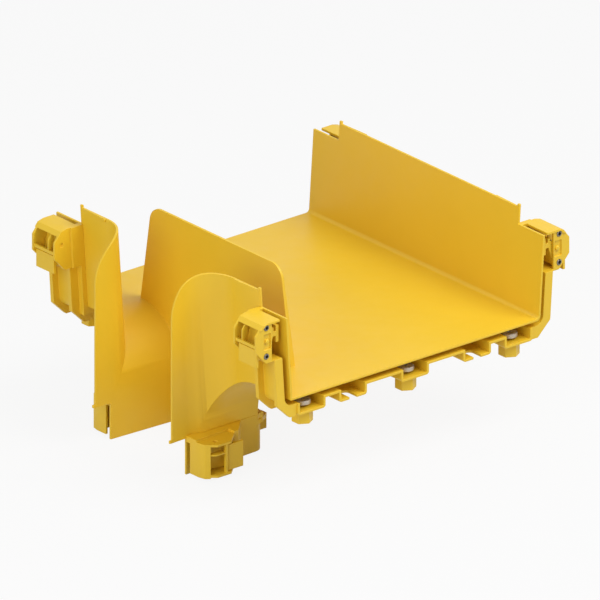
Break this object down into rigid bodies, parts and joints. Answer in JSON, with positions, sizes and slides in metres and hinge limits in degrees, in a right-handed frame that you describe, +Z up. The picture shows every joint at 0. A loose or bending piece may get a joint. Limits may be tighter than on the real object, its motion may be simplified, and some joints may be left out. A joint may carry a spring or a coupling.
{
  "type": "fibre raceway branch fitting",
  "caption": "Yellow moulded cable raceway fitting: a wide open trough with a divider, a side lane that rolls down into a drop channel, and snap couplers with sprung latches at its open ends.",
  "frame": {"origin": "middle of the trunk floor's top face, half way along the run and across the channel", "axes": "+Y along the trunk towards its rear socket, +Z up out of the channel, +X away from the drop branch"},
  "size_m": [0.401, 0.3396, 0.2082],
  "materials": {
    "body_plastic": "satin moulded yellow",
    "coupler_plastic": "satin moulded yellow",
    "lever_plastic": "satin moulded yellow",
    "pin_steel": "plain rolled pin",
    "screw_steel": "dull zinc plate"
  },
  "bodies": {
    "fitting": {"fitting_body": "body_plastic", "coupler_front": "coupler_plastic", "coupler_rear": "coupler_plastic", "coupler_branch": "coupler_plastic", "cross_pins": "pin_steel", "grip_screws": "screw_steel"},
    "latch_front_right": {"latch_lever_front_right": "lever_plastic"},
    "latch_front_left": {"latch_lever_front_left": "lever_plastic"},
    "latch_rear_left": {"latch_lever_rear_left": "lever_plastic"},
    "latch_rear_right": {"latch_lever_rear_right": "lever_plastic"},
    "latch_branch_near": {"latch_lever_branch_near": "lever_plastic"},
    "latch_branch_far": {"latch_lever_branch_far": "lever_plastic"}
  },
  "joints": [
    {"name": "latch_front_right_press", "type": "hinge", "parent": "fitting", "child": "latch_front_right", "pos_m": [0.17988, -0.14955, 0.049], "axis": [0, 1, 0], "range_deg": [0, 10], "stiffness_Nm_per_rad": 0.86, "springref_deg": -5.73},
    {"name": "latch_front_left_press", "type": "hinge", "parent": "fitting", "child": "latch_front_left", "pos_m": [-0.17988, -0.14955, 0.049], "axis": [0, -1, 0], "range_deg": [0, 10], "stiffness_Nm_per_rad": 0.86, "springref_deg": -5.73},
    {"name": "latch_rear_left_press", "type": "hinge", "parent": "fitting", "child": "latch_rear_left", "pos_m": [-0.17988, 0.14955, 0.049], "axis": [0, -1, 0], "range_deg": [0, 10], "stiffness_Nm_per_rad": 0.86, "springref_deg": -5.73},
    {"name": "latch_rear_right_press", "type": "hinge", "parent": "fitting", "child": "latch_rear_right", "pos_m": [0.17988, 0.14955, 0.049], "axis": [0, 1, 0], "range_deg": [0, 10], "stiffness_Nm_per_rad": 0.86, "springref_deg": -5.73},
    {"name": "latch_branch_near_press", "type": "hinge", "parent": "fitting", "child": "latch_branch_near", "pos_m": [-0.1534, -0.07745, -0.0848], "axis": [0, 0, 1], "range_deg": [0, 10], "stiffness_Nm_per_rad": 0.86, "springref_deg": -5.73},
    {"name": "latch_branch_far_press", "type": "hinge", "parent": "fitting", "child": "latch_branch_far", "pos_m": [-0.1534, 0.07745, -0.0848], "axis": [0, 0, -1], "range_deg": [0, 10], "stiffness_Nm_per_rad": 0.86, "springref_deg": -5.73}
  ]
}
